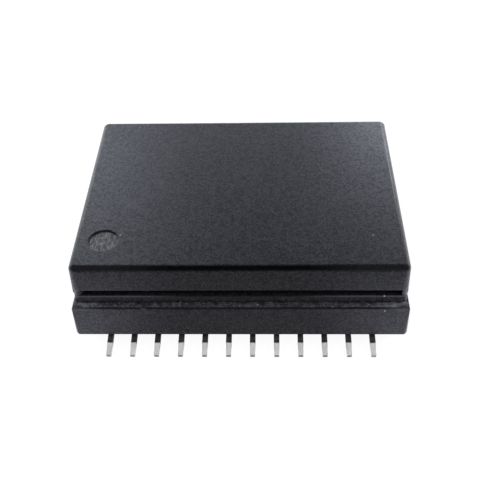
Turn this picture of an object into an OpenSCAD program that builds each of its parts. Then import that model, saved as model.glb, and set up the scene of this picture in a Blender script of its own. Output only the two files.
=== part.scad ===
// Surface-mount network isolation transformer: four channels, each with a pulse transformer and
// a common-mode choke wound on ferrite rings, in a two-part moulded case with two rows of leads.
// X runs along the lead rows, -Y is the front row, +Z is up.
// The origin lies under the middle of the case, on the board that the toes of the leads stand on.

/* [Leads] */
// Distance between neighbouring leads of a row
lead_pitch = 1.27; // [1.2:0.01:2.54]
// Width of a lead along its row
lead_w = 0.3; // [0.2:0.01:0.5]
// Thickness of the lead strip
lead_t = 0.25; // [0.15:0.01:0.35]
// How far the toe of a lead stands out from the foot of the case
lead_reach = 0.87; // [0.6:0.01:1.6]
// Inner radius of the bend under the case
bend_r = 0.15; // [0.1:0.01:0.25]
// How far the middle of the bend lies below the underside of the base
bend_drop = 0.05; // [0.02:0.01:0.08]
// Height of the winding post above the rim of the base
post_h = 0.35; // [0.3:0.05:0.8]
// Play between a lead and its slot in the base
lead_play = 0.01; // [0.005:0.005:0.04]

/* [Base] */
// Height of the underside of the base above the board
stand_off = 0.8; // [0.7:0.05:1.5]
// Thickness of the floor of the base
floor_t = 0.7; // [0.4:0.05:1.2]
// Height of the wide band of the base
band_h = 1.99; // [1.4:0.05:4]
// Height of the neck above the band
neck_h = 0.65; // [0.3:0.01:1.2]
// How far the neck is set back from the edge of the band along the long sides
neck_back = 0.25; // [0.2:0.01:0.5]
// How far the band stands proud of the cover
band_proud = 0.16; // [0.05:0.01:0.4]
// Thickness of the rim that stands inside the long walls of the cover
long_rim = 0.75; // [0.6:0.05:1.4]
// Thickness of the rim that stands inside the end walls of the cover
end_rim = 0.45; // [0.3:0.05:1]
// How far the rim reaches up behind the lip of the cover
rim_lap = 0.45; // [0.2:0.05:1]
// Width of the winding chamber between the two long rims
chamber_w = 10.1; // [9:0.1:14]
// Rounding of the upper edge of the band
band_round = 0.12; // [0.05:0.01:0.2]

/* [Cover] */
// Thickness of the walls of the cover
cover_wall = 0.55; // [0.45:0.05:1]
// Thickness of the roof of the cover
roof_t = 0.6; // [0.4:0.05:1]
// Height of the open slot between the lip of a long wall and the neck of the base
slot_h = 0.52; // [0.3:0.02:1]
// Width of the corner columns that close the slot at its ends
column_w = 0.35; // [0.2:0.05:0.5]
// Air gap between the roof and the tallest piece inside
head_gap = 0.15; // [0.1:0.05:0.6]
// Gap between the cover and the rim of the base
cover_play = 0.04; // [0.02:0.01:0.1]
// Thickness of the glue line under the end walls of the cover
glue_line = 0.02; // [0.01:0.01:0.05]
// Draft of the moulded outer walls, in degrees
draft = 1.3; // [0.5:0.1:2]
// Rounding of the upper edges of the cover
top_round = 0.3; // [0.1:0.02:0.4]
// Rounding of the upright corners of the case
corner_round = 0.3; // [0.2:0.05:0.5]

/* [First-lead dimple] */
// Diameter of the dimple that marks the first lead
dimple_d = 1.54; // [1:0.02:2.4]
// Depth of the dimple
dimple_depth = 0.1; // [0.05:0.01:0.2]
// Distance of the middle of the dimple from the nearest end of the roof
dimple_from_end = 1.53; // [1.3:0.01:3]
// Distance of the middle of the dimple from the front edge of the roof
dimple_from_front = 2.05; // [1.3:0.01:3]

/* [Transformer rings] */
// Outer diameter of a transformer core
core_od = 3; // [2.4:0.1:3.6]
// Inner diameter of a transformer core
core_id = 1.4; // [1.2:0.05:1.8]
// Height of a transformer core
core_h = 2.3; // [1.2:0.1:3]

/* [Choke rings] */
// Outer diameter of a choke core
choke_od = 2.5; // [2.1:0.1:3.2]
// Inner diameter of a choke core
choke_id = 1.2; // [1.1:0.05:1.5]
// Height of a choke core
choke_h = 1.6; // [1:0.1:2.4]

/* [Windings] */
// Diameter of the twisted wire bundle
wire_d = 0.22; // [0.16:0.01:0.24]
// Turns round a transformer core
core_turns = 10; // [6:1:10]
// Turns round a choke core
choke_turns = 8; // [5:1:8]
// Part of the ring left free for the tap wire, in degrees
tap_angle = 60; // [50:5:90]
// Gap between the wire and its core
wire_gap = 0.02; // [0.01:0.01:0.05]
// Rounding of the edges of the cores
core_round = 0.12; // [0.05:0.01:0.2]
// Smallest gap between two wound rings, and between a wound ring and a wall
ring_gap = 0.05; // [0.03:0.01:0.3]

/* [Hidden] */
$fn = 64;
channels = 4;
leads_per_channel = 3;
leads_per_row = channels * leads_per_channel;
lead_count = 2 * leads_per_row;
wire_r = wire_d / 2;
wire_sides = 8;

// How far pieces of one solid run into each other, and how far a cut runs past the faces that it opens
joint_lap = 0.01;
cut_over = 1;

// How far the corner rounding stands clear of the walls at their foot, so that it cuts and never grazes them
corner_ease = 0.02;

// Wound rings: outer radius and height over the wire
core_wound_r = core_od / 2 + wire_gap + wire_d;
core_wound_h = core_h + 2 * (wire_gap + wire_d);
choke_wound_r = choke_od / 2 + wire_gap + wire_d;
choke_wound_h = choke_h + 2 * (wire_gap + wire_d);

// Plan of the case, worked outwards from the rings: half lengths along X and half widths along Y
cell_l = max(leads_per_channel * lead_pitch, 2 * max(core_wound_r, choke_wound_r) + ring_gap);
chamber_hl = (channels - 1) / 2 * cell_l + max(core_wound_r, choke_wound_r) + ring_gap;
chamber_hw = max(chamber_w / 2, core_wound_r + choke_wound_r + 1.5 * ring_gap);
rim_hl = max(chamber_hl + end_rim, (leads_per_row - 1) / 2 * lead_pitch + lead_w / 2 + end_rim);
rim_hw = chamber_hw + long_rim;
cover_in_hl = rim_hl + cover_play;
cover_in_hw = rim_hw + cover_play;
cover_hl = cover_in_hl + cover_wall;
cover_hw = cover_in_hw + cover_wall;
band_hl = cover_hl + band_proud;
band_hw = cover_hw + band_proud;
slot_hl = cover_hl - column_w;
neck_hw = band_hw - neck_back;
core_y = -chamber_hw / 2;
choke_y = chamber_hw / 2;

// Heights above the board
floor_z = stand_off + floor_t;
ledge_z = stand_off + band_h;
neck_z = ledge_z + neck_h;
lip_z = neck_z + slot_h;
rim_z = lip_z + rim_lap;
post_z = rim_z + post_h;
ceiling_z = max(post_z, floor_z + core_wound_h, floor_z + choke_wound_h) + head_gap;
roof_z = ceiling_z + roof_t;
cover_foot_z = neck_z + glue_line;

// Case walls lean in towards the top by the draft
function lean(h) = h * tan(draft);
band_foot_hl = band_hl + lean(band_h);
band_foot_hw = band_hw + lean(band_h);
cover_foot_hl = cover_hl + lean(lip_z - cover_foot_z);
cover_foot_hw = cover_hw + lean(lip_z - cover_foot_z);
roof_hl = cover_hl - lean(roof_z - lip_z);
roof_hw = cover_hw - lean(roof_z - lip_z);

// Side view of a lead: the post, the bend under the case and the sloping foot
post_y = -(chamber_hw + long_rim / 2);
post_face_y = post_y - lead_t / 2;
toe_y = -(band_foot_hw + lead_reach);
bend_y = post_face_y - bend_r;
bend_z = stand_off - bend_drop;
bend_out_r = bend_r + lead_t;

// The underside of the foot is the tangent from the toe on the board to the outside of the bend
toe_to_bend = norm([bend_y - toe_y, bend_z]);
foot_angle = atan2(bend_z, bend_y - toe_y) - asin(bend_out_r / toe_to_bend);
bend_steps = 8;

case_color = "#2c2c2f";
lead_color = "#c9cbcd";
ferrite_color = "#4b4a4d";
copper_color = "#b4602f";
green_wire_color = "#5f7d3a";

function lead_name(i) = str("lead_", i < 10 ? "0" : "", i);
function ring_name(kind, i) = str(kind, "_", i);

function channel_x(i) = (i - (channels + 1) / 2) * cell_l;
function lead_x(i) = (i - (leads_per_row + 1) / 2) * lead_pitch;

// How far the middle post of a channel stands from the middle of its rings
function post_shift(i) = lead_x(leads_per_channel * (i - 0.5) + 0.5) - channel_x(i);

// Rectangle with round corners, given by half length, half width and radius
module round_rect(hl, hw, r) {
    square([2 * hl, 2 * (hw - r)], center = true);
    square([2 * (hl - r), 2 * hw], center = true);
    for (sx = [-1, 1], sy = [-1, 1])
        translate([sx * (hl - r), sy * (hw - r)])
            circle(r);
}

// Section of a drafted wall block: half width at the foot, height, rounding of the upper edges
module drafted_section(half, h, r) {
    round_x = half - lean(h - r) - r / cos(draft);
    polygon([
        [-half, 0],
        [half, 0],
        [round_x + r * cos(draft), h - r + r * sin(draft)],
        [round_x, h],
        [-round_x, h],
        [-round_x - r * cos(draft), h - r + r * sin(draft)]
    ]);
    for (side = [-1, 1])
        translate([side * round_x, h - r])
            circle(r);
}

// Block with drafted walls, round upper edges and round upright corners, standing on z = 0
module drafted_block(hl, hw, h, r) {
    intersection() {
        rotate([90, 0, 0])
            linear_extrude(2 * hw + cut_over, center = true)
                drafted_section(hl, h, r);
        rotate([90, 0, 90])
            linear_extrude(2 * hl + cut_over, center = true)
                drafted_section(hw, h, r);
        linear_extrude(h + cut_over)
            round_rect(hl + corner_ease, hw + corner_ease, corner_round + corner_ease);
    }
}

// Straight block between two heights, given by half length and half width
module plain_block(hl, hw, z0, z1) {
    translate([-hl, -hw, z0])
        cube([2 * hl, 2 * hw, z1 - z0]);
}

// Cap whose end walls stand on the neck of the base and whose long walls end in a lip above the slot.
// Below the lip the corner columns are set back to the face of the neck.
module cover() {
    color(case_color)
        difference() {
            translate([0, 0, cover_foot_z])
                drafted_block(cover_foot_hl, cover_foot_hw, roof_z - cover_foot_z, top_round);
            plain_block(cover_in_hl, cover_in_hw, cover_foot_z - cut_over, ceiling_z);
            for (turn = [0, 180])
                rotate(turn)
                    translate([-slot_hl, rim_hw, cover_foot_z - cut_over])
                        cube([2 * slot_hl, cover_foot_hw, lip_z - cover_foot_z + cut_over]);
            translate([0, 0, cover_foot_z - cut_over])
                linear_extrude(lip_z - cover_foot_z + cut_over)
                    difference() {
                        square(2 * [cover_foot_hl + cut_over, cover_foot_hw + cut_over], center = true);
                        round_rect(cover_foot_hl + corner_ease, neck_hw, corner_round + corner_ease);
                    }
            translate([-roof_hl + dimple_from_end, -roof_hw + dimple_from_front, roof_z - dimple_depth])
                cylinder(h = dimple_depth + cut_over, d = dimple_d);
        }
}

// Tray with the wide band, the neck that the cover stands on and the rim that carries the leads.
// The neck is flush with the cover at the ends and set back from its lip along the long sides.
module base() {
    color(case_color)
        difference() {
            union() {
                translate([0, 0, stand_off])
                    drafted_block(band_foot_hl, band_foot_hw, band_h, band_round);
                translate([0, 0, ledge_z - joint_lap])
                    linear_extrude(neck_h + joint_lap)
                        round_rect(cover_foot_hl, neck_hw, corner_round);
                plain_block(rim_hl, rim_hw, ledge_z - joint_lap, rim_z);
            }
            plain_block(chamber_hl, chamber_hw, floor_z, rim_z + cut_over);
            for (turn = [0, 180], i = [1:leads_per_row])
                rotate(turn)
                    lead_slot(i);
        }
}

// Slot through the long rim for the post of one front lead
module lead_slot(i) {
    slot_tall = rim_z - stand_off + 2 * cut_over;
    translate([lead_x(i), post_y, (stand_off + rim_z) / 2])
        cube([lead_w + 2 * lead_play, lead_t + 2 * lead_play, slot_tall], center = true);
}

// Points of an arc round the middle of the bend
function bend_arc(r, from, to) =
    [
        for (k = [0:bend_steps])
            let (angle = from + (to - from) * k / bend_steps)
            [bend_y + r * cos(angle), bend_z + r * sin(angle)]
    ];

// Side view of a lead, drawn with Y to the right and Z up
module lead_side() {
    polygon(concat(
        [[post_face_y + lead_t, post_z], [post_face_y, post_z]],
        bend_arc(bend_r, 0, foot_angle - 90),
        [[toe_y - lead_t * sin(foot_angle), lead_t * cos(foot_angle)], [toe_y, 0]],
        bend_arc(bend_out_r, foot_angle - 90, 0)
    ));
}

// One lead; numbers run along the front from the dimple, then back along the rear row
module lead(i) {
    rear = i > leads_per_row;
    color(lead_color)
        rotate(rear ? 180 : 0)
            translate([lead_x(rear ? i - leads_per_row : i), 0, 0])
                rotate([90, 0, 90])
                    linear_extrude(lead_w, center = true)
                        lead_side();
}

// Ferrite ring with rounded edges, standing on z = 0
module ring_core(od, id, h) {
    rotate_extrude()
        translate([(od + id) / 4, h / 2])
            round_rect((od - id) / 4, h / 2, core_round);
}

// Points of a wound wire in the frame of its ring: in from one lead post, turn by turn round the ring
// and out to another post. Each turn goes in over the top, down the hole, out below and up the side.
function winding_points(in_r, out_r, low_z, high_z, turns, tail_in, tail_out) =
    let (step = (360 - tap_angle) / turns)
    concat(
        tail_in,
        [
            for (t = [0:turns - 1], leg = [0:3])
                let (
                    inside = leg == 1 || leg == 2,
                    angle = tap_angle / 2 + (t + leg / 4) * step - 90,
                    r = inside ? in_r : out_r
                )
                [r * cos(angle), r * sin(angle), leg < 2 ? high_z : low_z]
        ],
        [[out_r * cos(-90 - tap_angle / 2), out_r * sin(-90 - tap_angle / 2), high_z]],
        tail_out
    );

// Points of the tap wire: in from the middle post, over the ring and down into its hole
function tap_points(in_r, out_r, low_z, high_z, tail_in) =
    concat(tail_in, [[0, -out_r, high_z], [0, -in_r, high_z], [0, -in_r, low_z]]);

// Ring of points round the start of a wire, which leaves its post level and along Y
function first_ring(p) =
    [
        for (k = [0:wire_sides - 1])
            let (angle = (k + 0.5) * 360 / wire_sides)
            p + wire_r * [cos(angle), 0, sin(angle)]
    ];

// The same ring slid along a leg as far as the plane through p with normal n
function slid_ring(ring, p, d, n) = [for (q = ring) q + d * ((p - q) * n) / (d * n)];

// Normal of the plane in which the two legs at corner i of a wire meet
function mitre(legs, i) = legs[i - 1] + legs[min(i, len(legs) - 1)];

// Solid wire along a list of points, mitred at its corners
module wire(points) {
    last = len(points) - 1;
    legs = [for (i = [0:last - 1]) (points[i + 1] - points[i]) / norm(points[i + 1] - points[i])];
    rings = [
        for (i = 0, ring = first_ring(points[0]);
            i <= last;
            i = i + 1,
            ring = i > last ? [] : slid_ring(ring, points[i], legs[i - 1], mitre(legs, i)))
            ring
    ];
    sides = [
        for (i = [0:last - 1], k = [0:wire_sides - 1])
            let (next = (k + 1) % wire_sides)
            [i * wire_sides + k, (i + 1) * wire_sides + k, (i + 1) * wire_sides + next, i * wire_sides + next]
    ];
    start_cap = [for (k = [0:wire_sides - 1]) k];
    end_cap = [for (k = [wire_sides - 1:-1:0]) last * wire_sides + k];
    polyhedron([for (ring = rings) each ring], concat([start_cap], sides, [end_cap]));
}

// Winding of one ring that stands on the floor at y, with its ends and its tap led to three front posts,
// the middle one of which stands shifted along X from the middle of the ring
module ring_winding(od, id, h, turns, y, shift) {
    in_r = id / 2 - wire_gap - wire_r;
    out_r = od / 2 + wire_gap + wire_r;
    low_z = wire_r;
    high_z = h + wire_d + 2 * wire_gap + wire_r;
    tie_y = post_y + lead_t / 2 + wire_gap - y;
    knee_y = wire_gap + wire_r - chamber_hw - y;
    tail_z = rim_z + wire_gap + wire_r - floor_z;
    function tie(side) = [shift + side * lead_pitch, tie_y, tail_z];
    function knee(side) = [shift + side * lead_pitch, knee_y, tail_z];
    tail_in = [tie(1), knee(1)];
    tail_out = [knee(-1), tie(-1)];
    wire(winding_points(in_r, out_r, low_z, high_z, turns, tail_in, tail_out));
    wire(tap_points(in_r, out_r, low_z, high_z, [tie(0), knee(0)]));
}

module transformer_core(i) {
    color(ferrite_color)
        translate([channel_x(i), core_y, floor_z + wire_d + wire_gap])
            ring_core(core_od, core_id, core_h);
}

module transformer_winding(i) {
    color(copper_color)
        translate([channel_x(i), core_y, floor_z])
            ring_winding(core_od, core_id, core_h, core_turns, core_y, post_shift(i));
}

module choke_core(i) {
    color(ferrite_color)
        translate([channel_x(i), choke_y, floor_z + wire_d + wire_gap])
            ring_core(choke_od, choke_id, choke_h);
}

module choke_winding(i) {
    color(green_wire_color)
        translate([channel_x(i), choke_y, floor_z])
            rotate(180)
                ring_winding(choke_od, choke_id, choke_h, choke_turns, -choke_y, -post_shift(i));
}

cover();
base();
for (i = [1:lead_count])
    lead(i);
for (i = [1:channels]) {
    transformer_core(i);
    transformer_winding(i);
    choke_core(i);
    choke_winding(i);
}
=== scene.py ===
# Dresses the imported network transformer: softened case mouldings, moulding flash, tinned leads and a studio.
import math

import bmesh
import bpy
from mathutils import Matrix, Vector


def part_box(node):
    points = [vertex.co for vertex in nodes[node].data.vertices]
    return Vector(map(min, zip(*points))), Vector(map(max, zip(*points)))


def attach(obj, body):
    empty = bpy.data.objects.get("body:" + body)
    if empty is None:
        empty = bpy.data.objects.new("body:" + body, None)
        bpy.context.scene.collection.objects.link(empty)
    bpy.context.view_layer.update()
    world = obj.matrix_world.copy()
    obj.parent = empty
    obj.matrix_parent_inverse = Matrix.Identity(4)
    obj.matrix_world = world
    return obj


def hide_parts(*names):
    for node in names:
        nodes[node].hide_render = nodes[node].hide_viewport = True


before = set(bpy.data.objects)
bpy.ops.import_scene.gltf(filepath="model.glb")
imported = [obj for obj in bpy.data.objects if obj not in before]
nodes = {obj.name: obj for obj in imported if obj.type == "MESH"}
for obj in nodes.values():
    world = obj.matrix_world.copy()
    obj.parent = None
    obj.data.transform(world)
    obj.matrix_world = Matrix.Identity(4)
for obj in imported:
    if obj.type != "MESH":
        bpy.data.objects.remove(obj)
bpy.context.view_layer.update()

MM = 0.001

# Heights and depths of the moulded steps of the case
cover_low, cover_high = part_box("cover")
base_low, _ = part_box("base")
ROOF_Z = cover_high.z
UNDER_Z = base_low.z
LEDGE_Z = UNDER_Z + 1.99 * MM
NECK_Z = LEDGE_Z + 0.65 * MM
LIP_Z = NECK_Z + 0.52 * MM
LIP_Y = 6.39 * MM
NECK_Y = 6.3 * MM
NECK_CORNER_Y = 5.95 * MM

# Dimple in the roof that marks the first lead, a pale speck moulded into the roof, and a painted glint just
# outside the rim of the dimple
DIMPLE_PLACE = Vector((-6.98, -4.305, 0)) * MM
DIMPLE_R = 0.77 * MM
DIMPLE_RIM = 0.03 * MM
SPECK_AND_GLINT_PLACES = (Vector((6.83, -3.97, 0)) * MM, Vector((-6.15, -3.9, 0)) * MM)
SPECK_AND_GLINT_R = 0.07 * MM

# Leads: where the case ends over them and the tin dip below it, where a foot narrows towards its toe and
# by how much, how steeply it slopes, and how far out along that slope the toe is cut
CASE_FOOT_Y = 6.595 * MM
DIP_LINE_Y = 6.79 * MM
TAPER_FROM_Y = 6.86 * MM
TAPER_TO_Y = 7.14 * MM
TOE_SHARE = 0.87
FOOT_SLOPE = math.radians(10.98)
TOE_CUT = 7.465 * MM * math.cos(FOOT_SLOPE)

# Finish of the leads: pairs of tones between which the bare strip changes, from next to the case, painted
# lighter there, to the dip line, darkened with painted shade from the case throughout, and the tin; the tones
# of stains and of the sheared toe, and where the dip line and the sheared face fade in
BARE_TONES_BY_CASE = ((0.05, 0.048, 0.045, 1), (0.085, 0.082, 0.077, 1))
BARE_TONES_BY_DIP_LINE = ((0.014, 0.0134, 0.0126, 1), (0.03, 0.0288, 0.027, 1))
TIN_TONES = ((0.8, 0.797, 0.79, 1), (0.93, 0.927, 0.92, 1))
STAIN_TONE = 0.4
STAIN_MIX = 0.4
SHEARED_TONE = (0.42, 0.415, 0.4, 1)
LEAD_METALLIC = (0.3, 0.15)
LEAD_ROUGHNESS = (0.56, 0.44)
LEAD_PEAK_POLISH = 0.06
DIP_WAVES_PER_MM = 1.6
DIP_WOBBLE = 0.08 * MM
DIP_FADE_Y = (DIP_LINE_Y - 0.05 * MM, DIP_LINE_Y + 0.05 * MM)
TOE_CUT_FADE = (TOE_CUT - 0.014 * MM, TOE_CUT - 0.004 * MM)

# Rings and their wire: pairs of tones, and the tones of crystals and tumbled edges in the ferrite
FERRITE_TONES = ((0.05, 0.05, 0.055, 1), (0.085, 0.084, 0.09, 1))
FERRITE_ROUGHNESS = (0.55, 0.38)
CRYSTAL_TONE = (0.2, 0.2, 0.22, 1)
CRYSTAL_MIX = 0.7
TUMBLED_TONE = (0.16, 0.16, 0.17, 1)
TUMBLED_MIX = 0.4
COPPER_TONES = ((0.42, 0.13, 0.045, 1), (0.72, 0.27, 0.11, 1))
GREEN_TONES = ((0.06, 0.14, 0.03, 1), (0.17, 0.32, 0.08, 1))
WIRE_SPECK_MIX = 0.25
WIRE_METALLIC = 0.75
WIRE_ROUGHNESS = (0.34, 0.24)
ENAMEL_WEIGHT = 0.6
ENAMEL_ROUGHNESS = 0.12

# Black moulding compound: its tone and cold tint, the roughness of the mouldings, the shares of that tone in
# pits, peaks, clouds and worn places and how strongly they are mixed in, and the shares of that tone on the
# radii along the lead rows, as painted shade, darkest in their middle and less dark at their ends
CASE_TONE = 0.0155
CASE_TINT = (0.96, 0.96, 1.14)
COVER_ROUGHNESS = 0.38
BASE_ROUGHNESS = 0.4
NECK_ROUGHNESS = 0.62
SHEEN_CHANGE = 0.02
PIT_SHARE = 0.45
PEAK_SHARE = 1.55
CLOUD_SHARE = 1.3
WORN_SHARE = 3.2
CLOUD_MIX = 0.25
SPECK_MIX = 0.4
WEAR_MIX = 0.3
WEAR_POLISH = 0.05
COVER_RADIUS_SHADE_SHARE = 0.1
BASE_RADIUS_SHADE_SHARE = 0.7
END_RADIUS_SHADE_SHARE = 0.8
RADIUS_MIDDLE_X = 3 * MM
RADIUS_END_X = 7 * MM

# How far a normal points along a row, up off a wall and up onto a flat face, where the mask of the painted
# shade on a radius fades
END_LEAN = (0.45, 0.8)
WALL_LEAN = (0.1, 0.4)
FLAT_LEAN = (0.9, 0.99)

# Ranges of noise and of normals turned by an edge, within which the shared masks rise
NOISE_MEAN = 0.5
PEAK_RANGE = (0.32, 0.68)
CLOUD_RANGE = (0.3, 0.7)
SPECK_RANGE = (0.66, 0.78)
EDGE_RANGE = (0.01, 0.2)
PATCH_RANGE = (0.35, 0.65)
PATCHES_PER_MM = 2.2

# Grain of the moulded case, in millimetres, and the thin glossier skin that it breaks up
PIT_SIZE = 0.09
PIT_DEPTH = 0.006
COARSE_RATIO = 2.3
COARSE_SHARE = 0.3
GRAIN_GLOSS = 0.1
BODY_SPECULAR = 0.18
BODY_TINT = (0.75, 0.8, 1.0, 1.0)
SKIN_ROUGHNESS = 0.33
SKIN_RANGE = (0.2, 0.8)
SKIN_IN_PITS = 0.25
SKIN_ON_PEAKS = 0.8

# Streaks on the floor of the dimple, specks and a painted glint, and painted highlights on the base
STREAK_DARK = 0.012
STREAK_PALE = 0.13
STREAK_TURN = math.radians(14)
STREAK_STRETCH = 0.26
STREAKS_PER_MM = 16
STREAK_RANGE = (0.36, 0.66)
SPECK_AND_GLINT_TONE = 0.32
NECK_EDGE_HIGHLIGHT_TONE = 0.07
NECK_HIGHLIGHT_FROM_X = 2.5 * MM
NECK_HIGHLIGHT_TO_X = 6 * MM
LEDGE_HIGHLIGHT_TONE = 0.05
LEDGE_HIGHLIGHT_FROM_X = 7 * MM
LEDGE_HIGHLIGHT_TO_X = 8.3 * MM

# Torn flash: tones of its dull and pale parts in the middle and, painted lighter, at the ends of a lead row,
# the pale tone partly a painted highlight, of its specks and of the loose bits, and the depth of its grain in
# millimetres and its roughness from pits to peaks
FLASH_DULL = 0.018
FLASH_DULL_LIT_END = 0.07
FLASH_PALE = 0.06
FLASH_PALE_LIT_END = 0.18
FLASH_SPECK = 0.24
FLASH_LOOSE = 0.34
FLASH_PIT_DEPTH = 0.03
FLASH_PIT_RANGE = (0.3, 0.7)
FLASH_ROUGHNESS = (0.6, 0.42)
FLASH_MIDDLE_X = 6.5 * MM
FLASH_END_X = 8.3 * MM

# Softened mould edges
WELD = 0.0005 * MM
SAME_PLACE = 0.002 * MM
FLAT_ANGLE = math.radians(0.3)
SHARP_ANGLE = math.radians(25)
SMOOTH_ANGLE = math.radians(50)
ROUND_PROFILE = 0.5
EDGE_ROUND = 0.05 * MM
EDGE_SEGMENTS = 3
LEAD_ROUND = 0.03 * MM
LEAD_SEGMENTS = 2
NECK_LEAN = 0.1 * MM
NECK_DROP = 0.08 * MM
FOOT_EDGE_X = 8.3 * MM
FOOT_EDGE_Y = 6.2 * MM
CASE_DRAFT = math.radians(1.3)
COVER_CORNER_ROUND = 0.38 * MM
COVER_TOP_ROUND = 0.3 * MM
COVER_SEGMENTS = 8
COVER_TRIM_FOOT_Z = 3.0 * MM
COVER_TRIM_CLEAR = 0.01 * MM

# Ends of the slot: where the corner columns meet it, and how far each end moves inwards and back
SLOT_END_X = 8.195 * MM
SLOT_END_EASE = {-1: (0.2 * MM, 0.2 * MM), 1: (-0.05 * MM, 0 * MM)}

# Ragged flash that fills the corner between the ledge and the neck
SEAM_FRONT_Y = 6.46 * MM
SEAM_BACK_Y = 6.18 * MM
SEAM_LOW_Z = LEDGE_Z - 0.02 * MM
SEAM_TOP_Z = LEDGE_Z + 0.18 * MM
SEAM_X = 8.58 * MM
SEAM_TURN_X = 8.25 * MM
SEAM_TURN_BACK = 0.1 * MM
SEAM_LUMPS = 60
SEAM_CUTS_PER_LUMP = 5
SEAM_ROUND = 0.08 * MM
SEAM_SEGMENTS = 3
SEAM_LUMP_SIZE = 0.06 * MM
SEAM_LUMP_SHORTEST = 0.4
SEAM_TEAR_SIZE = 0.035 * MM
SEAM_SMOOTHING = 0.3
SEAM_SEEDS = {"flash_front": 3, "flash_rear": 7}

# Bits of flash that cling to ledge, lip, bead, neck and band at the front: name, middle and size in
# millimetres, and seed; and how ragged they are and how far they are smoothed again
CRUMBS = (
    ("ledge_nick", (-4.98, -6.475, 2.75), (0.34, 0.17, 0.26), 11),
    ("lip_burr", (-4.63, -6.385, 3.985), (0.16, 0.07, 0.1), 12),
    ("seam_lump_1", (-7.16, -6.41, 2.94), (0.17, 0.1, 0.1), 13),
    ("seam_lump_2", (-6.42, -6.4, 2.98), (0.2, 0.1, 0.09), 14),
    ("seam_lump_3", (-4.05, -6.43, 2.87), (0.16, 0.1, 0.12), 15),
    ("neck_crumb", (7.357, -6.228, 3.382), (0.1, 0.08, 0.1), 16),
    ("band_crumb", (7.41, -6.55, 2.62), (0.09, 0.06, 0.1), 17),
)
CRUMB_SUBDIVISIONS = 3
CRUMB_RAGGED = 0.16
CRUMB_SMOOTHING = 0.4

# Where masks on the case fade: those of the neck and the painted highlight on its upper edge, of the painted
# highlight on the ledge, and of the bits above the bead, as far as the lip, and below the ledge
NECK_EDGE_Y = NECK_Y - NECK_LEAN - EDGE_ROUND
NECK_EDGE_Z = NECK_Z - NECK_DROP
NECK_FADE_Y = (NECK_Y, NECK_Y + 0.03 * MM)
NECK_FADE_Z = (LEDGE_Z + 0.02 * MM, LEDGE_Z + 0.06 * MM)
NECK_HIGHLIGHT_FADE_Y = (NECK_EDGE_Y, NECK_EDGE_Y + 0.03 * MM)
NECK_HIGHLIGHT_FADE_Z = (NECK_EDGE_Z - 0.09 * MM, NECK_EDGE_Z - 0.05 * MM)
LEDGE_FADE_Z = (LEDGE_Z - 0.15 * MM, LEDGE_Z - 0.11 * MM)
BITS_ABOVE_FADE_Z = (SEAM_TOP_Z + 0.16 * MM, SEAM_TOP_Z + 0.24 * MM)
BITS_LIP_FADE_Z = (NECK_Z + 0.15 * MM, NECK_Z + 0.25 * MM)
BITS_BELOW_FADE_Z = (LEDGE_Z - 0.13 * MM, LEDGE_Z - 0.1 * MM)

# Viewpoint of the portrait: a close macro view over the front row of leads
LENS = 60.3
SENSOR = 36.0
VIEW_ELEVATION = math.radians(42.707)
VIEW_TURN = math.radians(-2.786)
VIEW_ROLL = math.radians(-2.094)
VIEW_TARGET = Vector((0, 0, 3.0 * MM))
VIEW_OFFSET = Vector((-0.128 * MM, -1.084 * MM))
VIEW_DISTANCE = 45.87 * MM
CLIP_START = 1 * MM
CLIP_END = 10.0

# Studio: lamps, surroundings with a wall that only gloss mirrors, and a card whose glow for gloss has a
# painted shade in the middle of the lead rows and fades out in front
FAR_LAMP = 0.3
NEAR_LAMP = 0.06
COLD_LIGHT = (0.86, 0.9, 1.0)
TENT_LIGHT = 0.04
WALL_GLOW = 2.2
WALL_TOP_FADE = (0.4, 0.55)
WALL_BACK_FADE = (0.0, 0.3)
WALL_SIDE_FADE = (0.3, 0.55)
FLOOR_RADIUS = 0.6
FLOOR_SIDES = 96
FLOOR_Z = -0.02 * MM
CARD_WHITE = 0.93
CARD_PAINT = 0.86
CARD_PAINT_MIRRORED = 0.38
CARD_PAINT_SEEN = 0.14
CARD_COLD_GLOW = (0.87, 0.87, 1.0, 1)
SHADE_GLOW = 0.15
SHADE_FADE_X = (3.5 * MM, 9 * MM)
GLOW_FADE_Y = (-13 * MM, -9 * MM)

# Sockets of a Mix node for its first and second value and for the blend
MIX_SOCKETS = {"RGBA": (6, 7, 2), "FLOAT": (2, 3, 0)}


# Shader helpers

def set_or_link(tree, socket, value):
    if isinstance(value, bpy.types.NodeSocket):
        tree.links.new(value, socket)
    else:
        socket.default_value = value


def new_node(tree, kind, settings=None, **inputs):
    """Adds a node, sets its plain settings and fills its named inputs with values or links."""
    node = tree.nodes.new(kind)
    for key, value in (settings or {}).items():
        setattr(node, key, value)
    for key, value in inputs.items():
        set_or_link(tree, node.inputs[key.replace("_", " ")], value)
    return node


def calc(tree, operation, *values):
    node = new_node(tree, "ShaderNodeMath", {"operation": operation})
    for socket, value in zip(node.inputs, values):
        set_or_link(tree, socket, value)
    return node.outputs[0]


def times(tree, product, *factors):
    for factor in factors:
        product = calc(tree, "MULTIPLY", product, factor)
    return product


def axes(tree, vector):
    """X, Y and Z outputs of a vector."""
    return new_node(tree, "ShaderNodeSeparateXYZ", Vector=vector).outputs


def aside(tree, value):
    """Distance to either side of the middle."""
    return calc(tree, "ABSOLUTE", value)


def ramp(tree, value, low, high, to_low=0.0, to_high=1.0):
    """Smooth step of a value from one range to another."""
    node = new_node(tree, "ShaderNodeMapRange", {"interpolation_type": "SMOOTHSTEP"}, Value=value)
    node.inputs["From Min"].default_value = low
    node.inputs["From Max"].default_value = high
    node.inputs["To Min"].default_value = to_low
    node.inputs["To Max"].default_value = to_high
    return node.outputs["Result"]


def fall(tree, value, low, high):
    """Smooth step of a value down from 1 to 0."""
    return ramp(tree, value, low, high, 1.0, 0.0)


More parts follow.
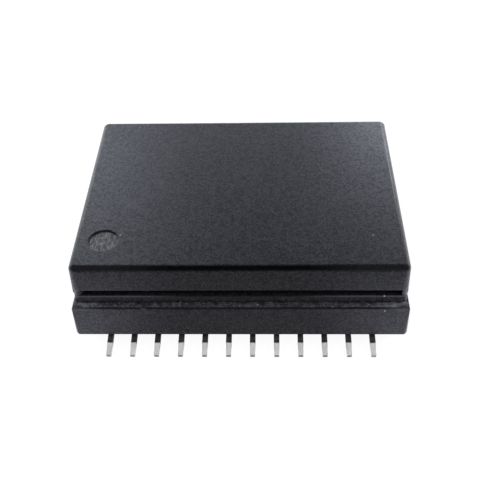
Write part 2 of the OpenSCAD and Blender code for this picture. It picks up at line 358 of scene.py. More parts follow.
def mix(tree, kind, factor, first, second):
    first_socket, second_socket, blend_socket = MIX_SOCKETS[kind]
    node = new_node(tree, "ShaderNodeMix", {"data_type": kind})
    set_or_link(tree, node.inputs[0], factor)
    set_or_link(tree, node.inputs[first_socket], first)
    set_or_link(tree, node.inputs[second_socket], second)
    return node.outputs[blend_socket]


def mix_color(tree, factor, first, second):
    return mix(tree, "RGBA", factor, first, second)


def mix_value(tree, factor, first, second):
    return mix(tree, "FLOAT", factor, first, second)


def noise(tree, place, scale, detail=2.0, roughness=0.5):
    node = new_node(tree, "ShaderNodeTexNoise", Vector=place, Scale=scale, Detail=detail, Roughness=roughness)
    return node.outputs[0]


def new_group(name, inputs, outputs):
    """Shader node group with a Place input, float inputs given with their defaults, and float outputs."""
    group = bpy.data.node_groups.new(name, "ShaderNodeTree")
    group.interface.new_socket("Place", in_out="INPUT", socket_type="NodeSocketVector")
    for socket_name, default in inputs.items():
        socket = group.interface.new_socket(socket_name, in_out="INPUT", socket_type="NodeSocketFloat")
        socket.default_value = default
    for socket_name in outputs:
        group.interface.new_socket(socket_name, in_out="OUTPUT", socket_type="NodeSocketFloat")
    given = group.nodes.new("NodeGroupInput").outputs
    results = group.nodes.new("NodeGroupOutput").inputs
    return group, given, results


def use_group(tree, group, **inputs):
    node = new_node(tree, "ShaderNodeGroup", {"node_tree": group})
    for key, value in inputs.items():
        set_or_link(tree, node.inputs[key.replace("_", " ")], value)
    return node.outputs


def new_material(name):
    material = bpy.data.materials.new(name)
    material.use_nodes = True
    tree = material.node_tree
    tree.nodes.clear()
    shader = tree.nodes.new("ShaderNodeBsdfPrincipled")
    new_node(tree, "ShaderNodeOutputMaterial", Surface=shader.outputs[0])
    place = tree.nodes.new("ShaderNodeTexCoord").outputs["Object"]
    return material, tree, shader.inputs, place


def grey(value):
    return (value, value, value, 1)


def blue_black(value):
    """Cold black of the moulding compound."""
    return (*(value * tint for tint in CASE_TINT), 1)


def case_black(share):
    return blue_black(CASE_TONE * share)


# Effects that several materials share

def spark_grain_group():
    """Spark-eroded mould grain: pits of two sizes, as a height from 0 to 1 and a mask of the smooth peaks."""
    group, given, results = new_group("spark_grain", {"Pit Size": 0.06, "Coarse Share": 0.35},
                                      ("Height", "Peaks"))
    scale = calc(group, "DIVIDE", 1 / MM, given["Pit Size"])
    fine = noise(group, given["Place"], scale, detail=0.0)
    coarse = noise(group, given["Place"], calc(group, "DIVIDE", scale, COARSE_RATIO), detail=0.0)
    height = mix_value(group, given["Coarse Share"], fine, coarse)
    group.links.new(height, results["Height"])
    group.links.new(ramp(group, height, *PEAK_RANGE), results["Peaks"])
    return group


def flow_mottle_group():
    """Slow cloudy change over a surface, from 0 to 1, and a sparse speckle."""
    group, given, results = new_group("flow_mottle", {"Cloud Size": 3.0, "Speck Size": 0.12},
                                      ("Cloud", "Specks"))
    cloud_scale = calc(group, "DIVIDE", 1 / MM, given["Cloud Size"])
    cloud = noise(group, given["Place"], cloud_scale, detail=4.0, roughness=0.55)
    speck_scale = calc(group, "DIVIDE", 1 / MM, given["Speck Size"])
    speck = noise(group, given["Place"], speck_scale, detail=1.0)
    group.links.new(ramp(group, cloud, *CLOUD_RANGE), results["Cloud"])
    group.links.new(ramp(group, speck, *SPECK_RANGE), results["Specks"])
    return group


def worn_edge_group():
    """Mask of the edges, from the angle between a rounded and the plain normal, broken up along them."""
    group, given, results = new_group("worn_edge", {"Reach": 0.08, "Break Up": 0.4}, ("Edge",))
    reach = calc(group, "MULTIPLY", given["Reach"], MM)
    rounded = new_node(group, "ShaderNodeBevel", {"samples": 4}, Radius=reach)
    plain = group.nodes.new("ShaderNodeNewGeometry")
    turned = new_node(group, "ShaderNodeVectorMath", {"operation": "DOT_PRODUCT"})
    group.links.new(rounded.outputs[0], turned.inputs[0])
    group.links.new(plain.outputs["Normal"], turned.inputs[1])
    edge = ramp(group, calc(group, "SUBTRACT", 1.0, turned.outputs["Value"]), *EDGE_RANGE)
    patchy = ramp(group, noise(group, given["Place"], PATCHES_PER_MM / MM, detail=3.0), *PATCH_RANGE)
    kept = calc(group, "SUBTRACT", 1.0, times(group, given["Break Up"], patchy))
    group.links.new(times(group, edge, kept), results["Edge"])
    return group


def round_spot_group():
    """Mask of a round spot about the middle of Place, seen from above, with its soft rim inside Radius."""
    group, given, results = new_group("round_spot", {"Radius": 1.0, "Rim": 0.1}, ("Spot",))
    at = axes(group, given["Place"])
    square = calc(group, "ADD", calc(group, "POWER", at["X"], 2.0), calc(group, "POWER", at["Y"], 2.0))
    depth = calc(group, "SUBTRACT", given["Radius"], calc(group, "SQRT", square))
    share = calc(group, "DIVIDE", depth, given["Rim"])
    group.links.new(ramp(group, share, 0.0, 1.0), results["Spot"])
    return group


spark_grain = spark_grain_group()
flow_mottle = flow_mottle_group()
worn_edge = worn_edge_group()
round_spot = round_spot_group()


# Materials

def bump(tree, height, strength, depth):
    return new_node(tree, "ShaderNodeBump", Strength=strength, Distance=depth * MM, Height=height).outputs[0]


def centred(tree, place, middle):
    """Object coordinates moved so that a spot on the part becomes their origin."""
    return new_node(tree, "ShaderNodeMapping", Vector=place, Location=-middle).outputs[0]


def painted_shade_on_radius(tree):
    """Mask of painted shade on the radii along the lead rows, which lean between the flat faces and the walls.
    """
    normal = axes(tree, tree.nodes.new("ShaderNodeNewGeometry").outputs["Normal"])
    along_row = fall(tree, aside(tree, normal["X"]), *END_LEAN)
    off_wall = ramp(tree, normal["Z"], *WALL_LEAN)
    off_flat = fall(tree, normal["Z"], *FLAT_LEAN)
    return times(tree, along_row, off_wall, off_flat)


def moulded_surface(tree, place, roughness, radius_shade_share):
    """Colour, roughness and grain of black moulding compound with cloudy sheen, rubbed edges, painted shade on
    radii.
    """
    pits = use_group(tree, spark_grain, Place=place, Pit_Size=PIT_SIZE, Coarse_Share=COARSE_SHARE)
    clouds = use_group(tree, flow_mottle, Place=place, Cloud_Size=3.4, Speck_Size=0.16)
    edge = use_group(tree, worn_edge, Place=place, Reach=0.07, Break_Up=0.5)["Edge"]
    color = mix_color(tree, pits["Peaks"], case_black(PIT_SHARE), case_black(PEAK_SHARE))
    color = mix_color(tree, times(tree, clouds["Cloud"], CLOUD_MIX), color, case_black(CLOUD_SHARE))
    color = mix_color(tree, times(tree, clouds["Specks"], SPECK_MIX), color, case_black(WORN_SHARE))
    color = mix_color(tree, times(tree, edge, WEAR_MIX), color, case_black(WORN_SHARE))
    # Painted shade on the radii along the lead rows, less dark towards the ends of the rows
    at_end = ramp(tree, aside(tree, axes(tree, place)["X"]), RADIUS_MIDDLE_X, RADIUS_END_X)
    shaded = mix_color(tree, at_end, case_black(radius_shade_share), case_black(END_RADIUS_SHADE_SHARE))
    color = mix_color(tree, painted_shade_on_radius(tree), color, shaded)
    sheen = ramp(tree, clouds["Cloud"], 0.0, 1.0, roughness + SHEEN_CHANGE, roughness - SHEEN_CHANGE)
    relief = calc(tree, "SUBTRACT", pits["Height"], NOISE_MEAN)
    pitted = calc(tree, "ADD", sheen, times(tree, relief, GRAIN_GLOSS))
    rough = calc(tree, "SUBTRACT", pitted, times(tree, edge, WEAR_POLISH))
    return color, rough, pits


def finish_plastic(tree, shader, color, rough, pits, pit_depth):
    """Dull compound under a thin glossier skin that the pits of the grain break up."""
    tree.links.new(color, shader["Base Color"])
    tree.links.new(rough, shader["Roughness"])
    shader["Specular IOR Level"].default_value = BODY_SPECULAR
    shader["Specular Tint"].default_value = BODY_TINT
    skin = ramp(tree, pits["Height"], *SKIN_RANGE, SKIN_IN_PITS, SKIN_ON_PEAKS)
    tree.links.new(skin, shader["Coat Weight"])
    shader["Coat Roughness"].default_value = SKIN_ROUGHNESS
    tree.links.new(bump(tree, pits["Height"], strength=1.0, depth=pit_depth), shader["Normal"])


def make_cover_plastic():
    """Cover: plain grain, with the paler streaked floor of the dimple, a pale speck and a painted glint by the
    dimple.
    """
    material, tree, shader, place = new_material("cover_plastic")
    color, rough, pits = moulded_surface(tree, place, COVER_ROUGHNESS, COVER_RADIUS_SHADE_SHARE)
    at_dimple = centred(tree, place, DIMPLE_PLACE)
    dimple = use_group(tree, round_spot, Place=at_dimple, Radius=DIMPLE_R, Rim=DIMPLE_RIM)["Spot"]
    stretched = new_node(tree, "ShaderNodeMapping", Vector=at_dimple, Scale=(1.0, STREAK_STRETCH, 1.0))
    stretched.inputs["Rotation"].default_value = (0, 0, STREAK_TURN)
    streaks = ramp(tree, noise(tree, stretched.outputs[0], STREAKS_PER_MM / MM, detail=1.0), *STREAK_RANGE)
    color = mix_color(tree, dimple, color, mix_color(tree, streaks, grey(STREAK_DARK), grey(STREAK_PALE)))
    # A pale speck in the roof, and a painted glint just outside the rim of the dimple
    for middle in SPECK_AND_GLINT_PLACES:
        at_speck = centred(tree, place, middle)
        speck = use_group(tree, round_spot, Place=at_speck, Radius=SPECK_AND_GLINT_R, Rim=SPECK_AND_GLINT_R)["Spot"]
        color = mix_color(tree, speck, color, grey(SPECK_AND_GLINT_TONE))
    finish_plastic(tree, shader, color, rough, pits, PIT_DEPTH)
    return material


def make_base_plastic():
    """Base: the same grain, with a rougher torn neck, and a painted highlight towards the ends of the lead
    rows on the upper edge of the neck and on the ledge."""
    material, tree, shader, place = new_material("base_plastic")
    color, rough, pits = moulded_surface(tree, place, BASE_ROUGHNESS, BASE_RADIUS_SHADE_SHARE)
    at = axes(tree, place)
    along, across, height = aside(tree, at["X"]), aside(tree, at["Y"]), at["Z"]
    above = ramp(tree, height, *NECK_FADE_Z)
    behind = fall(tree, across, *NECK_FADE_Y)
    neck = times(tree, above, behind)
    rough = mix_value(tree, neck, rough, NECK_ROUGHNESS)
    # Painted highlight on the upper edge of the neck, towards the ends of the lead rows
    upper = ramp(tree, height, *NECK_HIGHLIGHT_FADE_Z)
    proud = ramp(tree, across, *NECK_HIGHLIGHT_FADE_Y)
    outer = ramp(tree, along, NECK_HIGHLIGHT_FROM_X, NECK_HIGHLIGHT_TO_X)
    color = mix_color(tree, times(tree, upper, proud, neck, outer), color, blue_black(NECK_EDGE_HIGHLIGHT_TONE))
    # Painted highlight on the ledge near the ends of the lead rows
    over_band = ramp(tree, height, *LEDGE_FADE_Z)
    ledge = times(tree, over_band, calc(tree, "SUBTRACT", 1.0, neck))
    corner = ramp(tree, along, LEDGE_HIGHLIGHT_FROM_X, LEDGE_HIGHLIGHT_TO_X)
    color = mix_color(tree, times(tree, ledge, corner), color, blue_black(LEDGE_HIGHLIGHT_TONE))
    finish_plastic(tree, shader, color, rough, pits, PIT_DEPTH)
    return material


def make_flash_plastic():
    """Thin flash: the same compound with coarse uneven tone, whitened where it tore, partly a painted
    highlight, and on loose bits, and painted lighter towards the ends of a lead row.
    """
    material, tree, shader, place = new_material("flash_plastic")
    pits = use_group(tree, spark_grain, Place=place, Pit_Size=PIT_SIZE, Coarse_Share=0.5)
    clouds = use_group(tree, flow_mottle, Place=place, Cloud_Size=0.22, Speck_Size=0.12)
    at = axes(tree, place)
    # Painted light: the dull and pale tones both lighter towards the ends of the lead row
    at_end = ramp(tree, aside(tree, at["X"]), FLASH_MIDDLE_X, FLASH_END_X)
    dull = mix_color(tree, at_end, blue_black(FLASH_DULL), blue_black(FLASH_DULL_LIT_END))
    pale = mix_color(tree, at_end, blue_black(FLASH_PALE), blue_black(FLASH_PALE_LIT_END))
    # Pale patches, partly a painted highlight
    color = mix_color(tree, clouds["Cloud"], dull, pale)
    color = mix_color(tree, clouds["Specks"], color, blue_black(FLASH_SPECK))
    above = ramp(tree, at["Z"], *BITS_ABOVE_FADE_Z)
    below = fall(tree, at["Z"], *BITS_BELOW_FADE_Z)
    under_lip = fall(tree, at["Z"], *BITS_LIP_FADE_Z)
    loose = calc(tree, "MAXIMUM", times(tree, above, under_lip), below)
    color = mix_color(tree, loose, color, blue_black(FLASH_LOOSE))
    rough = ramp(tree, pits["Height"], *FLASH_PIT_RANGE, *FLASH_ROUGHNESS)
    finish_plastic(tree, shader, color, rough, pits, FLASH_PIT_DEPTH)
    return material


def make_lead_metal():
    """Copper-alloy strip: matt tin on the foot as far as the dip line, greyer on the cut toe, bare above the
    line and dark there with painted shade from the case, painted lighter next to the case."""
    material, tree, shader, place = new_material("tinned_lead")
    at = axes(tree, place)
    across = aside(tree, at["Y"])
    wobble = calc(tree, "SUBTRACT", noise(tree, place, DIP_WAVES_PER_MM / MM), NOISE_MEAN)
    dipped = calc(tree, "ADD", across, times(tree, wobble, DIP_WOBBLE))
    tinned = ramp(tree, dipped, *DIP_FADE_Y)
    along = calc(tree, "SUBTRACT", times(tree, across, math.cos(FOOT_SLOPE)),
                 times(tree, at["Z"], math.sin(FOOT_SLOPE)))
    cut = ramp(tree, along, *TOE_CUT_FADE)
    pits = use_group(tree, spark_grain, Place=place, Pit_Size=0.05, Coarse_Share=0.5)
    clouds = use_group(tree, flow_mottle, Place=place, Cloud_Size=0.5, Speck_Size=0.08)
    # Bare strip: painted shade from the case, painted lighter next to the case and darker towards the dip line
    towards_dip_line = ramp(tree, across, CASE_FOOT_Y, DIP_LINE_Y)
    bare_by_case = mix_color(tree, clouds["Cloud"], *BARE_TONES_BY_CASE)
    bare_by_dip_line = mix_color(tree, clouds["Cloud"], *BARE_TONES_BY_DIP_LINE)
    bare = mix_color(tree, towards_dip_line, bare_by_case, bare_by_dip_line)
    tin = mix_color(tree, clouds["Cloud"], *TIN_TONES)
    stained = mix_color(tree, times(tree, clouds["Specks"], STAIN_MIX), tin, grey(STAIN_TONE))
    sheared = mix_color(tree, cut, stained, SHEARED_TONE)
    tree.links.new(mix_color(tree, tinned, bare, sheared), shader["Base Color"])
    tree.links.new(ramp(tree, tinned, 0.0, 1.0, *LEAD_METALLIC), shader["Metallic"])
    matt = ramp(tree, clouds["Cloud"], 0.0, 1.0, *LEAD_ROUGHNESS)
    rough = calc(tree, "SUBTRACT", matt, times(tree, pits["Peaks"], LEAD_PEAK_POLISH))
    tree.links.new(rough, shader["Roughness"])
    tree.links.new(bump(tree, pits["Height"], strength=0.4, depth=0.006), shader["Normal"])
    return material


def make_ferrite():
    """Sintered dark grey ferrite with a fine crystal speckle and lighter tumbled edges."""
    material, tree, shader, place = new_material("ferrite")
    pits = use_group(tree, spark_grain, Place=place, Pit_Size=0.05, Coarse_Share=0.6)
    clouds = use_group(tree, flow_mottle, Place=place, Cloud_Size=0.8, Speck_Size=0.05)
    edge = use_group(tree, worn_edge, Place=place, Reach=0.1, Break_Up=0.3)["Edge"]
    body = mix_color(tree, clouds["Cloud"], *FERRITE_TONES)
    crystal = mix_color(tree, times(tree, clouds["Specks"], CRYSTAL_MIX), body, CRYSTAL_TONE)
    tumbled = mix_color(tree, times(tree, edge, TUMBLED_MIX), crystal, TUMBLED_TONE)
    tree.links.new(tumbled, shader["Base Color"])
    tree.links.new(ramp(tree, pits["Height"], 0.2, 0.8, *FERRITE_ROUGHNESS), shader["Roughness"])
    tree.links.new(bump(tree, pits["Height"], strength=0.5, depth=0.008), shader["Normal"])
    return material


def make_enamelled_wire(name, dark, light):
    """Enamelled copper: metal under a clear tinted coat, with small changes of tone along the wire."""
    material, tree, shader, place = new_material(name)
    clouds = use_group(tree, flow_mottle, Place=place, Cloud_Size=0.7, Speck_Size=0.05)
    tone = mix_color(tree, clouds["Cloud"], dark, light)
    specked = mix_color(tree, times(tree, clouds["Specks"], WIRE_SPECK_MIX), tone, dark)
    tree.links.new(specked, shader["Base Color"])
    shader["Metallic"].default_value = WIRE_METALLIC
    tree.links.new(ramp(tree, clouds["Cloud"], 0.0, 1.0, *WIRE_ROUGHNESS), shader["Roughness"])
    shader["Coat Weight"].default_value = ENAMEL_WEIGHT
    shader["Coat Roughness"].default_value = ENAMEL_ROUGHNESS
    return material


cover_plastic = make_cover_plastic()
base_plastic = make_base_plastic()
flash_plastic = make_flash_plastic()
tinned_lead = make_lead_metal()
ferrite = make_ferrite()
copper_wire = make_enamelled_wire("copper_wire", *COPPER_TONES)
green_wire = make_enamelled_wire("green_wire", *GREEN_TONES)


# Mesh helpers

def select_only(piece):
    if bpy.context.mode != "OBJECT":
        bpy.ops.object.mode_set(mode="OBJECT")
    bpy.ops.object.select_all(action="DESELECT")
    piece.select_set(True)
    bpy.context.view_layer.objects.active = piece


def edit(piece):
    select_only(piece)
    bpy.ops.object.mode_set(mode="EDIT")


def leave_edit():
    bpy.ops.object.mode_set(mode="OBJECT")


def pick(piece, kind, wanted):
    """In edit mode, selects only the vertices whose place, or the edges whose middle, passes a test."""
    bpy.ops.mesh.select_mode(type=kind)
    bpy.ops.mesh.select_all(action="DESELECT")
    shape = bmesh.from_edit_mesh(piece.data)
    if kind == "VERT":
        chosen = [v for v in shape.verts if wanted(v.co)]
    else:
        chosen = [e for e in shape.edges if wanted((e.verts[0].co + e.verts[1].co) / 2, e)]
    for part in chosen:
        part.select_set(True)
    shape.select_flush_mode()
    bmesh.update_edit_mesh(piece.data)


def is_sharp(edge):
    return len(edge.link_faces) == 2 and edge.calc_face_angle(0.0) > SHARP_ANGLE


def welded_copy(node, name):
    """Copy of a node's mesh as a new piece, with its loose triangles welded and its flat faces joined."""
    mesh = nodes[node].data.copy()
    mesh.name = name
    mesh.materials.clear()
    piece = bpy.data.objects.new(name, mesh)
    bpy.context.scene.collection.objects.link(piece)
    edit(piece)
    bpy.ops.mesh.select_all(action="SELECT")
    bpy.ops.mesh.customdata_custom_splitnormals_clear()
    bpy.ops.mesh.remove_doubles(threshold=WELD)
    bpy.ops.mesh.dissolve_limited(angle_limit=FLAT_ANGLE)
    leave_edit()
    return piece


def round_edges(piece, wanted, width, segments):
    """Bevels the sharp edges whose middle passes the test, and welds what closes up."""
    edit(piece)
    pick(piece, "EDGE", lambda middle, edge: is_sharp(edge) and wanted(middle))
    bpy.ops.mesh.bevel(offset_type="OFFSET", offset=width, segments=segments, profile=ROUND_PROFILE,
                       clamp_overlap=False)
    bpy.ops.mesh.select_all(action="SELECT")
    bpy.ops.mesh.remove_doubles(threshold=WELD)
    leave_edit()


def smooth(piece, angle):
    """Smooth shading up to an angle, with normals that keep the flat faces flat."""
    select_only(piece)
    bpy.ops.object.shade_smooth_by_angle(angle=angle)
    weighted = piece.modifiers.new("flat_faces", "WEIGHTED_NORMAL")
    weighted.keep_sharp = True
    bpy.ops.object.modifier_apply(modifier=weighted.name)


def dress(piece, material):
    piece.data.materials.clear()
    piece.data.materials.append(material)
    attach(piece, "root")


def settle(piece, name, size):
    """Names a fresh primitive and applies its size and place to its mesh."""
    piece.name = piece.data.name = name
    piece.scale = size
    bpy.ops.object.transform_apply(location=True, rotation=True, scale=True)
    return piece


# Case mouldings

def on_outside_of_cover(middle):
    lip = abs(middle.z - LIP_Z) < SAME_PLACE and abs(middle.y) > LIP_Y - SAME_PLACE
    dimple_rim = middle.z > ROOF_Z - SAME_PLACE
    return lip or dimple_rim


def on_outside_of_base(middle):
    at_neck_edge = abs(middle.y) > NECK_Y - NECK_LEAN - SAME_PLACE
    neck_top = at_neck_edge and abs(middle.z - NECK_EDGE_Z) < SAME_PLACE
    at_foot_edge = abs(middle.y) > FOOT_EDGE_Y or abs(middle.x) > FOOT_EDGE_X
    foot = at_foot_edge and middle.z < UNDER_Z + SAME_PLACE
    return neck_top or foot


def lean_back(piece, height):
    """Sets the edges at one height below the lip back and down a little, as the draft of their mould does."""
    for side in (-1, 1):
        edit(piece)
        pick(piece, "VERT", lambda co: abs(co.z - height) < SAME_PLACE and co.y * side > NECK_CORNER_Y)
        bpy.ops.transform.translate(value=(0, -side * NECK_LEAN, -NECK_DROP))
        leave_edit()


def round_corners(piece):
    """Trims the corners of the cover with a drafted block that stands just clear of it and is rounder."""
    low, high = COVER_TRIM_FOOT_Z, ROOF_Z + COVER_TRIM_CLEAR
    lean_in = (high - low) * math.tan(CASE_DRAFT)
    lean_out = (cover_low.z - low) * math.tan(CASE_DRAFT)
    foot_l = cover_high.x + COVER_TRIM_CLEAR + lean_out
    foot_w = cover_high.y + COVER_TRIM_CLEAR + lean_out
    bpy.ops.object.select_all(action="DESELECT")
    bpy.ops.mesh.primitive_cube_add(size=1, location=(0, 0, (low + high) / 2))
    block = settle(bpy.context.object, "corner_trim", (2 * foot_l, 2 * foot_w, high - low))
    edit(block)
    pick(block, "VERT", lambda at: at.z > high - SAME_PLACE)
    top_share = (1 - lean_in / foot_l, 1 - lean_in / foot_w, 1)
    bpy.ops.transform.resize(value=top_share, center_override=(0, 0, high))
    pick(block, "EDGE", lambda at, edge: low + SAME_PLACE < at.z < high - SAME_PLACE)
    bpy.ops.mesh.bevel(offset_type="OFFSET", offset=COVER_CORNER_ROUND, segments=COVER_SEGMENTS,
                       profile=ROUND_PROFILE)
    pick(block, "EDGE", lambda at, edge: is_sharp(edge) and at.z > high - SAME_PLACE)
    bpy.ops.mesh.bevel(offset_type="OFFSET", offset=COVER_TOP_ROUND, segments=COVER_SEGMENTS,
                       profile=ROUND_PROFILE)
    leave_edit()
    select_only(piece)
    trim = piece.modifiers.new("corner_trim", "BOOLEAN")
    trim.operation = "INTERSECT"
    trim.solver = "EXACT"
    trim.object = block
    bpy.ops.object.modifier_apply(modifier=trim.name)
    bpy.data.objects.remove(block)


def ease_slot_ends(piece):
    """Moves the inner edges of the corner columns, so that one end of the slot slopes and fades out."""
    for end, (inwards, back) in SLOT_END_EASE.items():
        for side in (-1, 1):
            edit(piece)
            pick(piece, "VERT", lambda at: abs(at.x * end - SLOT_END_X) < SAME_PLACE
                 and abs(at.y * side - NECK_Y) < SAME_PLACE)
            bpy.ops.transform.translate(value=(-end * inwards, -side * back, 0))
            leave_edit()


def make_cover():
    piece = welded_copy("cover", "cover_moulding")
    round_corners(piece)
    ease_slot_ends(piece)
    lean_back(piece, cover_low.z)
    round_edges(piece, on_outside_of_cover, EDGE_ROUND, EDGE_SEGMENTS)
    smooth(piece, SMOOTH_ANGLE)
    dress(piece, cover_plastic)
    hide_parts("cover")


def make_base():
    piece = welded_copy("base", "base_moulding")
    lean_back(piece, NECK_Z)
    round_edges(piece, on_outside_of_base, EDGE_ROUND, EDGE_SEGMENTS)
    smooth(piece, SMOOTH_ANGLE)
    dress(piece, base_plastic)
    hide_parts("base")


# Flash on the case

def make_crumb(name, middle, size, seed):
    """Small torn bit of flash: a ball squeezed to its size and roughened."""
    bpy.ops.object.select_all(action="DESELECT")
    bpy.ops.mesh.primitive_ico_sphere_add(subdivisions=CRUMB_SUBDIVISIONS, radius=0.5,
                                          location=Vector(middle) * MM)
    crumb = settle(bpy.context.object, name, Vector(size) * MM)
    edit(crumb)
    bpy.ops.mesh.select_all(action="SELECT")
    bpy.ops.transform.vertex_random(offset=min(size) * CRUMB_RAGGED * MM, uniform=1.0, normal=0.0,
                                    seed=seed)
    bpy.ops.mesh.vertices_smooth(factor=CRUMB_SMOOTHING, repeat=1)
    leave_edit()
    return crumb


def runs_along(edge, length):
    return abs(edge.verts[0].co.x - edge.verts[1].co.x) > length


def make_seam(name, side):
    """Ragged bead of flash in the corner of the ledge: a bar cut into lengths and rounded, then made lumpy,
    cut finer, torn, torn again in its left half, and smoothed."""
    middle = (0, side * (SEAM_FRONT_Y + SEAM_BACK_Y) / 2, (SEAM_LOW_Z + SEAM_TOP_Z) / 2)
    size = (2 * SEAM_X, SEAM_FRONT_Y - SEAM_BACK_Y, SEAM_TOP_Z - SEAM_LOW_Z)
    lump_length = 2 * SEAM_X / (SEAM_LUMPS + 1)
    seed = SEAM_SEEDS[name]
    bpy.ops.object.select_all(action="DESELECT")
    bpy.ops.mesh.primitive_cube_add(size=1, location=middle)
    seam = settle(bpy.context.object, name, size)
    edit(seam)
    pick(seam, "EDGE", lambda at, edge: runs_along(edge, SEAM_X))
    bpy.ops.mesh.subdivide(number_cuts=SEAM_LUMPS)
    pick(seam, "EDGE", lambda at, edge: is_sharp(edge) and at.z > SEAM_TOP_Z - SAME_PLACE
         and at.y * side > SEAM_FRONT_Y - SAME_PLACE)
    bpy.ops.mesh.bevel(offset_type="OFFSET", offset=SEAM_ROUND, segments=SEAM_SEGMENTS,
                       profile=ROUND_PROFILE)
    pick(seam, "VERT", lambda at: abs(at.x) > SEAM_TURN_X)
    bpy.ops.transform.translate(value=(0, -side * SEAM_TURN_BACK, 0))
    pick(seam, "VERT", lambda at: at.z > LEDGE_Z)
    bpy.ops.transform.vertex_random(offset=SEAM_LUMP_SIZE, uniform=1.0, normal=0.0, seed=seed)
    pick(seam, "EDGE", lambda at, edge: runs_along(edge, SEAM_LUMP_SHORTEST * lump_length))
    bpy.ops.mesh.subdivide(number_cuts=SEAM_CUTS_PER_LUMP, smoothness=1.0)
    for end_x, tear_seed in ((2 * SEAM_X, seed + 1), (0, seed + 2)):
        pick(seam, "VERT", lambda at: at.z > LEDGE_Z and at.x < end_x)
        bpy.ops.transform.vertex_random(offset=SEAM_TEAR_SIZE, uniform=1.0, normal=0.0, seed=tear_seed)
    pick(seam, "VERT", lambda at: at.z > LEDGE_Z)
    bpy.ops.mesh.vertices_smooth(factor=SEAM_SMOOTHING, repeat=1)
    leave_edit()
    return seam


def make_flash():
    """The two seams, and with the front one the bits that cling to ledge, seam, neck, band and lip."""
    front = make_seam("flash_front", -1)
    crumbs = [make_crumb(*crumb) for crumb in CRUMBS]
    select_only(front)
    for crumb in crumbs:
        crumb.select_set(True)
    bpy.ops.object.join()
    rear = make_seam("flash_rear", 1)
    for piece in (front, rear):
        select_only(piece)
        bpy.ops.object.shade_smooth_by_angle(angle=SMOOTH_ANGLE)
        dress(piece, flash_plastic)


# Leads and rings

def narrow_toe(piece, side):
    """Cuts a foot across twice and narrows what lies beyond the second cut, as the trim die leaves it."""
    edit(piece)
    for y in (TAPER_FROM_Y, TAPER_TO_Y):
        bpy.ops.mesh.select_all(action="SELECT")
        bpy.ops.mesh.bisect(plane_co=(0, side * y, 0), plane_no=(0, 1, 0))
    pick(piece, "VERT", lambda at: at.y * side > TAPER_TO_Y - SAME_PLACE)
    middle = sum((corner[0] for corner in piece.bound_box)) / len(piece.bound_box)
    bpy.ops.transform.resize(value=(TOE_SHARE, 1, 1), center_override=(middle, 0, 0))
    leave_edit()


def make_leads():
    for node in sorted(name for name in nodes if name.startswith("lead_")):
        piece = welded_copy(node, node.replace("lead", "tinned_lead"))
        narrow_toe(piece, 1 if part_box(node)[1].y > 0 else -1)
        round_edges(piece, lambda middle: True, LEAD_ROUND, LEAD_SEGMENTS)
        smooth(piece, SMOOTH_ANGLE)
        dress(piece, tinned_lead)
        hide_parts(node)


def dress_rings():
    finishes = {"transformer_core": ferrite, "choke_core": ferrite,
                "transformer_winding": copper_wire, "choke_winding": green_wire}
    for name, node in nodes.items():
        kind = name.rsplit("_", 1)[0]
        if kind in finishes:
            node.data.materials.clear()
            node.data.materials.append(finishes[kind])


# Studio

def make_camera():
    forward = Vector((math.sin(VIEW_TURN) * math.cos(VIEW_ELEVATION),
                      math.cos(VIEW_TURN) * math.cos(VIEW_ELEVATION),
                      -math.sin(VIEW_ELEVATION)))
    level = Vector((math.cos(VIEW_TURN), -math.sin(VIEW_TURN), 0))
    upright = level.cross(forward)
    right = math.cos(VIEW_ROLL) * level + math.sin(VIEW_ROLL) * upright
    up = -math.sin(VIEW_ROLL) * level + math.cos(VIEW_ROLL) * upright
    place = VIEW_TARGET - VIEW_DISTANCE * forward + VIEW_OFFSET.x * right + VIEW_OFFSET.y * up
    data = bpy.data.cameras.new("portrait_camera")
    data.lens = LENS
    data.sensor_width = SENSOR
    data.clip_start = CLIP_START
    data.clip_end = CLIP_END
    camera = bpy.data.objects.new("portrait_camera", data)
    bpy.context.scene.collection.objects.link(camera)
    turn = Matrix((right, up, -forward)).transposed().to_4x4()
    camera.matrix_world = Matrix.Translation(place) @ turn
    bpy.context.scene.camera = camera


def softbox(name, distance, azimuth, elevation, wide, tall, radiance, color=(1, 1, 1), mirrored=True):
    """Area lamp that faces the part: azimuth from straight behind towards the right, and its size as seen
    from the part, in degrees. One that isn't mirrored only fills."""
    a, e = math.radians(azimuth), math.radians(elevation)
    data = bpy.data.lights.new(name, "AREA")
    data.shape = "RECTANGLE"
    data.size = 2 * distance * math.cos(e) * math.tan(math.radians(wide / 2))
    data.size_y = 2 * distance * math.tan(math.radians(tall / 2))
    data.color = color
    data.energy = radiance * math.pi * data.size * data.size_y
    lamp = bpy.data.objects.new(name, data)
    bpy.context.scene.collection.objects.link(lamp)
    away = Vector((math.sin(a) * math.cos(e), math.cos(a) * math.cos(e), math.sin(e)))
    lamp.location = away * distance
    lamp.rotation_euler = away.to_track_quat("Z", "Y").to_euler()
    lamp.visible_camera = False
    lamp.visible_glossy = mirrored


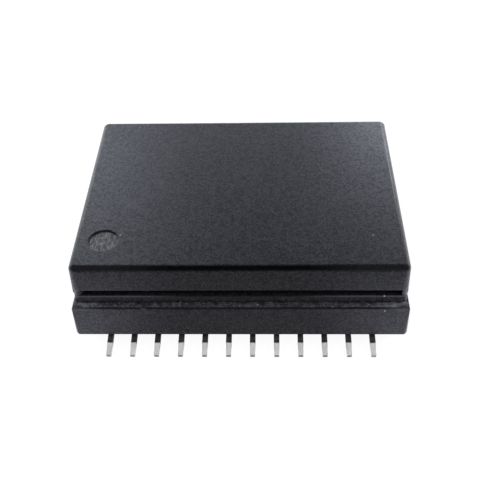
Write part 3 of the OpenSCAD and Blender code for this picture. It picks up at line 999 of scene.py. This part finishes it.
def make_floor():
    """White card: nearly white to the camera with a faint shadow, and glowing for gloss beside the part, with
    a painted shade in the middle of the lead rows.
    """
    bpy.ops.object.select_all(action="DESELECT")
    bpy.ops.mesh.primitive_circle_add(vertices=FLOOR_SIDES, radius=FLOOR_RADIUS, fill_type="NGON",
                                      location=(0, 0, FLOOR_Z))
    floor = bpy.context.object
    floor.name = "studio_floor"
    material = bpy.data.materials.new("white_card")
    material.use_nodes = True
    tree = material.node_tree
    tree.nodes.clear()
    path = tree.nodes.new("ShaderNodeLightPath").outputs
    seen = calc(tree, "MAXIMUM", path["Is Camera Ray"], path["Is Transmission Ray"])
    at = axes(tree, tree.nodes.new("ShaderNodeTexCoord").outputs["Object"])
    # Painted shade for gloss: the card glows less in the middle of the lead rows
    beside = ramp(tree, aside(tree, at["X"]), *SHADE_FADE_X, SHADE_GLOW, 1.0)
    near = ramp(tree, at["Y"], *GLOW_FADE_Y)
    mirrored = times(tree, path["Is Glossy Ray"], beside, near)
    strength = calc(tree, "ADD", times(tree, seen, CARD_WHITE), mirrored)
    dulled = mix_color(tree, path["Is Glossy Ray"], grey(CARD_PAINT), grey(CARD_PAINT_MIRRORED))
    paint_color = mix_color(tree, seen, dulled, grey(CARD_PAINT_SEEN))
    paint = new_node(tree, "ShaderNodeBsdfDiffuse", Color=paint_color)
    tint = mix_color(tree, seen, CARD_COLD_GLOW, grey(1))
    glow = new_node(tree, "ShaderNodeEmission", Color=tint, Strength=strength)
    both = tree.nodes.new("ShaderNodeAddShader")
    tree.links.new(paint.outputs[0], both.inputs[0])
    tree.links.new(glow.outputs[0], both.inputs[1])
    new_node(tree, "ShaderNodeOutputMaterial", Surface=both.outputs[0])
    floor.data.materials.append(material)


def make_world():
    """Dim surroundings, white where the camera sees them and, for gloss, low down at the sides and back."""
    world = bpy.data.worlds.new("light_tent")
    bpy.context.scene.world = world
    world.use_nodes = True
    tree = world.node_tree
    tree.nodes.clear()
    path = tree.nodes.new("ShaderNodeLightPath").outputs
    seen = calc(tree, "MAXIMUM", path["Is Camera Ray"], path["Is Transmission Ray"])
    ray = axes(tree, tree.nodes.new("ShaderNodeTexCoord").outputs["Generated"])
    low = fall(tree, ray["Z"], *WALL_TOP_FADE)
    behind = ramp(tree, ray["Y"], *WALL_BACK_FADE)
    beside = ramp(tree, aside(tree, ray["X"]), *WALL_SIDE_FADE)
    wall = times(tree, path["Is Glossy Ray"], low, behind, beside)
    strength = mix_value(tree, seen, mix_value(tree, wall, TENT_LIGHT, WALL_GLOW), 1.0)
    light = new_node(tree, "ShaderNodeBackground", Color=grey(1), Strength=strength)
    new_node(tree, "ShaderNodeOutputWorld", Surface=light.outputs[0])


make_camera()
make_cover()
make_base()
make_flash()
make_leads()
dress_rings()
make_floor()
make_world()
softbox("back_left_box", FAR_LAMP, azimuth=-28, elevation=34, wide=30, tall=12, radiance=6.2,
        color=COLD_LIGHT)
softbox("back_right_box", NEAR_LAMP, azimuth=25.5, elevation=27, wide=24, tall=12, radiance=9.2,
        color=COLD_LIGHT)
softbox("back_middle_box", FAR_LAMP, azimuth=-1, elevation=11, wide=16, tall=10, radiance=12.0,
        color=COLD_LIGHT)
softbox("left_side_box", FAR_LAMP, azimuth=-112, elevation=36, wide=40, tall=24, radiance=7.2, mirrored=False)
softbox("right_side_box", FAR_LAMP, azimuth=112, elevation=36, wide=40, tall=24, radiance=7.4, mirrored=False)

bpy.context.scene.view_settings.view_transform = "Standard"
